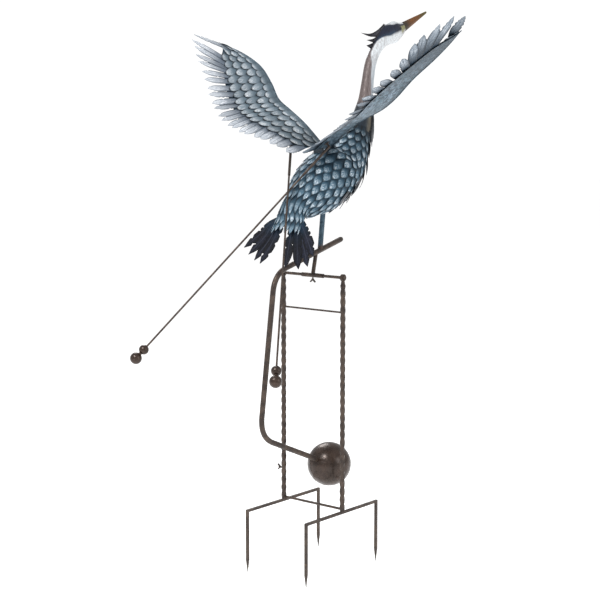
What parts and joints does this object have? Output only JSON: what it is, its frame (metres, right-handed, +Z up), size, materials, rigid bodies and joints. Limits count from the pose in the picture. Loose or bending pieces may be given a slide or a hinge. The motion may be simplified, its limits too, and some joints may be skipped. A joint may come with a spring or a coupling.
{
  "type": "garden ornament",
  "caption": "Kinetic heron garden ornament: painted metal heron with raised, flapping wings on a bent rocking tube with a ball counterweight, hung between twisted poles on ground forks",
  "frame": {"origin": "on the ground midway between the two poles, level with the undersides of the fork bars", "axes": "+Z up, +Y the way the heron looks, +X along the pivot bar towards the heron's right wing"},
  "size_m": [1.087, 1.1302, 1.7846],
  "materials": {
    "bronze_steel": "dark bronze-brown paint, satin, lightly worn",
    "ball_filled": "dark bronze-brown paint over a filled ball, satin",
    "body_sheet": "teal-slate paint with pale brushed scale tips",
    "leg_tube": "blue-grey paint, satin",
    "bill_sheet": "orange-brown paint, satin",
    "crest_sheet": "black paint, satin",
    "tail_sheet": "near-black blue paint, satin",
    "wing_sheet": "blue-grey paint with silver brushed feathers"
  },
  "bodies": {
    "stand": {"fork_left": "bronze_steel", "fork_right": "bronze_steel", "pole_left": "bronze_steel", "pole_right": "bronze_steel", "cross_rod_lower": "bronze_steel", "cross_rod_upper": "bronze_steel", "pole_screw_left": "bronze_steel"},
    "rocker": {"rocker_tube": "bronze_steel", "ball_weight": "ball_filled", "pivot_bar": "bronze_steel", "post": "bronze_steel", "sleeve_screw": "bronze_steel", "bird_body": "body_sheet", "leg": "leg_tube", "bill": "bill_sheet", "crest": "crest_sheet", "tail": "tail_sheet", "wing_bracket_front": "bronze_steel", "wing_bracket_rear": "bronze_steel"},
    "wing_right_body": {"wing_right": "wing_sheet", "balance_rod_right": "bronze_steel", "balance_weight_right": "bronze_steel"},
    "wing_left_body": {"wing_left": "wing_sheet", "balance_rod_left": "bronze_steel", "balance_weight_left": "bronze_steel"}
  },
  "joints": [
    {"name": "rock", "type": "hinge", "parent": "stand", "child": "rocker", "pos_m": [0, 0, 0.744], "axis": [1, 0, 0], "range_deg": [-25, 25]},
    {"name": "flap_right", "type": "hinge", "parent": "rocker", "child": "wing_right_body", "pos_m": [0.014, 0.078, 1.1475], "axis": [0, 0.9798, 0.2], "range_deg": [-25, 25]},
    {"name": "flap_left", "type": "hinge", "parent": "rocker", "child": "wing_left_body", "pos_m": [-0.014, 0.078, 1.1475], "axis": [0, -0.9798, -0.2], "range_deg": [-25, 25]}
  ]
}
